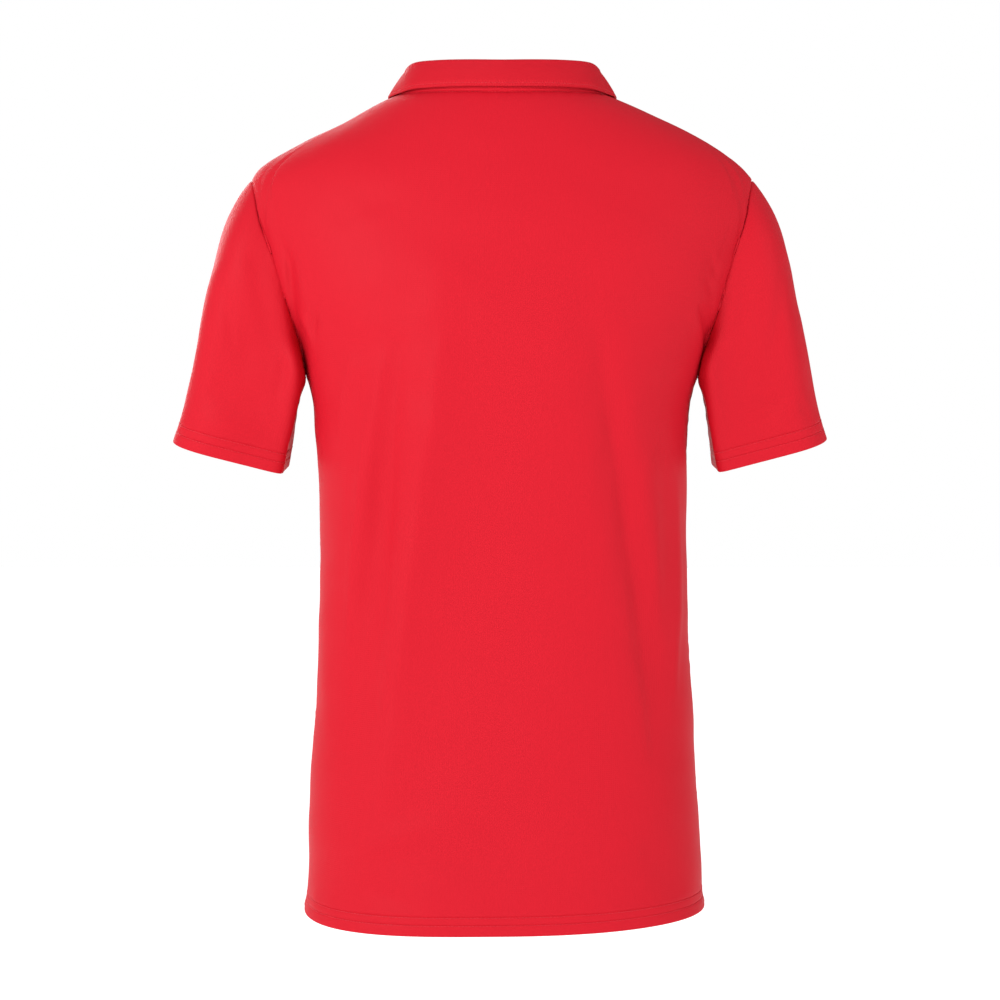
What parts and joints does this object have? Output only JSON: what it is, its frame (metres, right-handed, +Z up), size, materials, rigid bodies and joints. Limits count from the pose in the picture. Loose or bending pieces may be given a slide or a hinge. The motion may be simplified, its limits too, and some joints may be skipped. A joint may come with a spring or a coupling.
{
  "type": "short-sleeved polo shirt, filled out as worn with no wearer",
  "caption": "Plain knitted polo shirt: open tubular body with set-in short sleeves, folded collar on a stand, and a buttoned front placket.",
  "frame": {"origin": "middle of the neck opening, level with the back neck seam, where the wearer's neck and shoulders carry the shirt", "axes": "+Z up along the wearer, -Y the way the wearer faces, +X the wearer's left"},
  "size_m": [0.5695, 0.244, 0.7454],
  "materials": {
    "polo_knit": "fine smooth knit with a soft sheen",
    "collar_rib": "flat knit with fine upright ribs",
    "button_resin": "polished dyed resin"
  },
  "bodies": {
    "root": {"back": "polo_knit", "front": "polo_knit", "sleeve_left": "polo_knit", "sleeve_right": "polo_knit", "collar_stand": "polo_knit", "collar_leaf": "collar_rib", "placket_upper": "polo_knit", "placket_under": "polo_knit", "button_1": "button_resin", "button_2": "button_resin", "button_3": "button_resin"}
  },
  "joints": []
}
